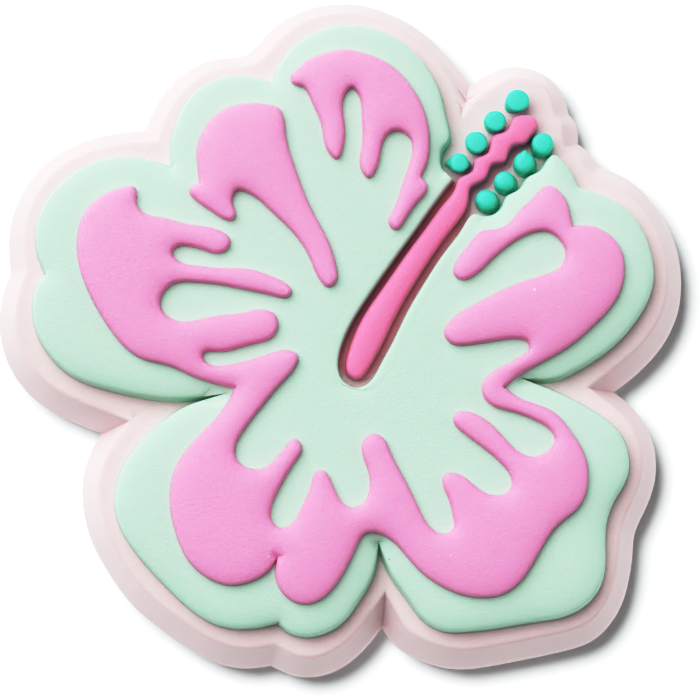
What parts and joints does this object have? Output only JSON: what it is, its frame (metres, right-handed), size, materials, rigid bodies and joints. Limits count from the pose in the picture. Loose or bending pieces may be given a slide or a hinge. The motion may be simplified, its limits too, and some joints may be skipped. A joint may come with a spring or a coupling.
{
  "type": "hibiscus flower shoe charm",
  "caption": "Soft moulded hibiscus flower charm with layered petals, a pistil and beads, and a flanged stud behind it that pushes into a shoe's ventilation hole.",
  "frame": {"origin": "middle of the stud's flat end face, behind the flower", "axes": "+Z out of the flower's face, away from the stud; +Y towards the top petal; +X to the right, seen from the front"},
  "size_m": [0.0383, 0.038, 0.0121],
  "materials": {
    "pale_pink_rubber": "matte, very fine sandblast grain",
    "mint_rubber": "matte, very fine sandblast grain",
    "orchid_rubber": "matte to satin, very fine grain",
    "hot_pink_rubber": "satin, smooth",
    "turquoise_rubber": "satin, slightly uneven"
  },
  "bodies": {
    "root": {"base_plate": "pale_pink_rubber", "back_stud": "pale_pink_rubber", "petal_layer": "mint_rubber", "petal_pattern_top": "orchid_rubber", "petal_pattern_upper_left": "orchid_rubber", "petal_pattern_ring": "orchid_rubber", "pistil": "hot_pink_rubber", "anther_bead_1": "turquoise_rubber", "anther_bead_2": "turquoise_rubber", "anther_bead_3": "turquoise_rubber", "anther_bead_4": "turquoise_rubber", "anther_bead_5": "turquoise_rubber", "anther_bead_6": "turquoise_rubber", "anther_bead_7": "turquoise_rubber", "anther_bead_8": "turquoise_rubber"}
  },
  "joints": []
}
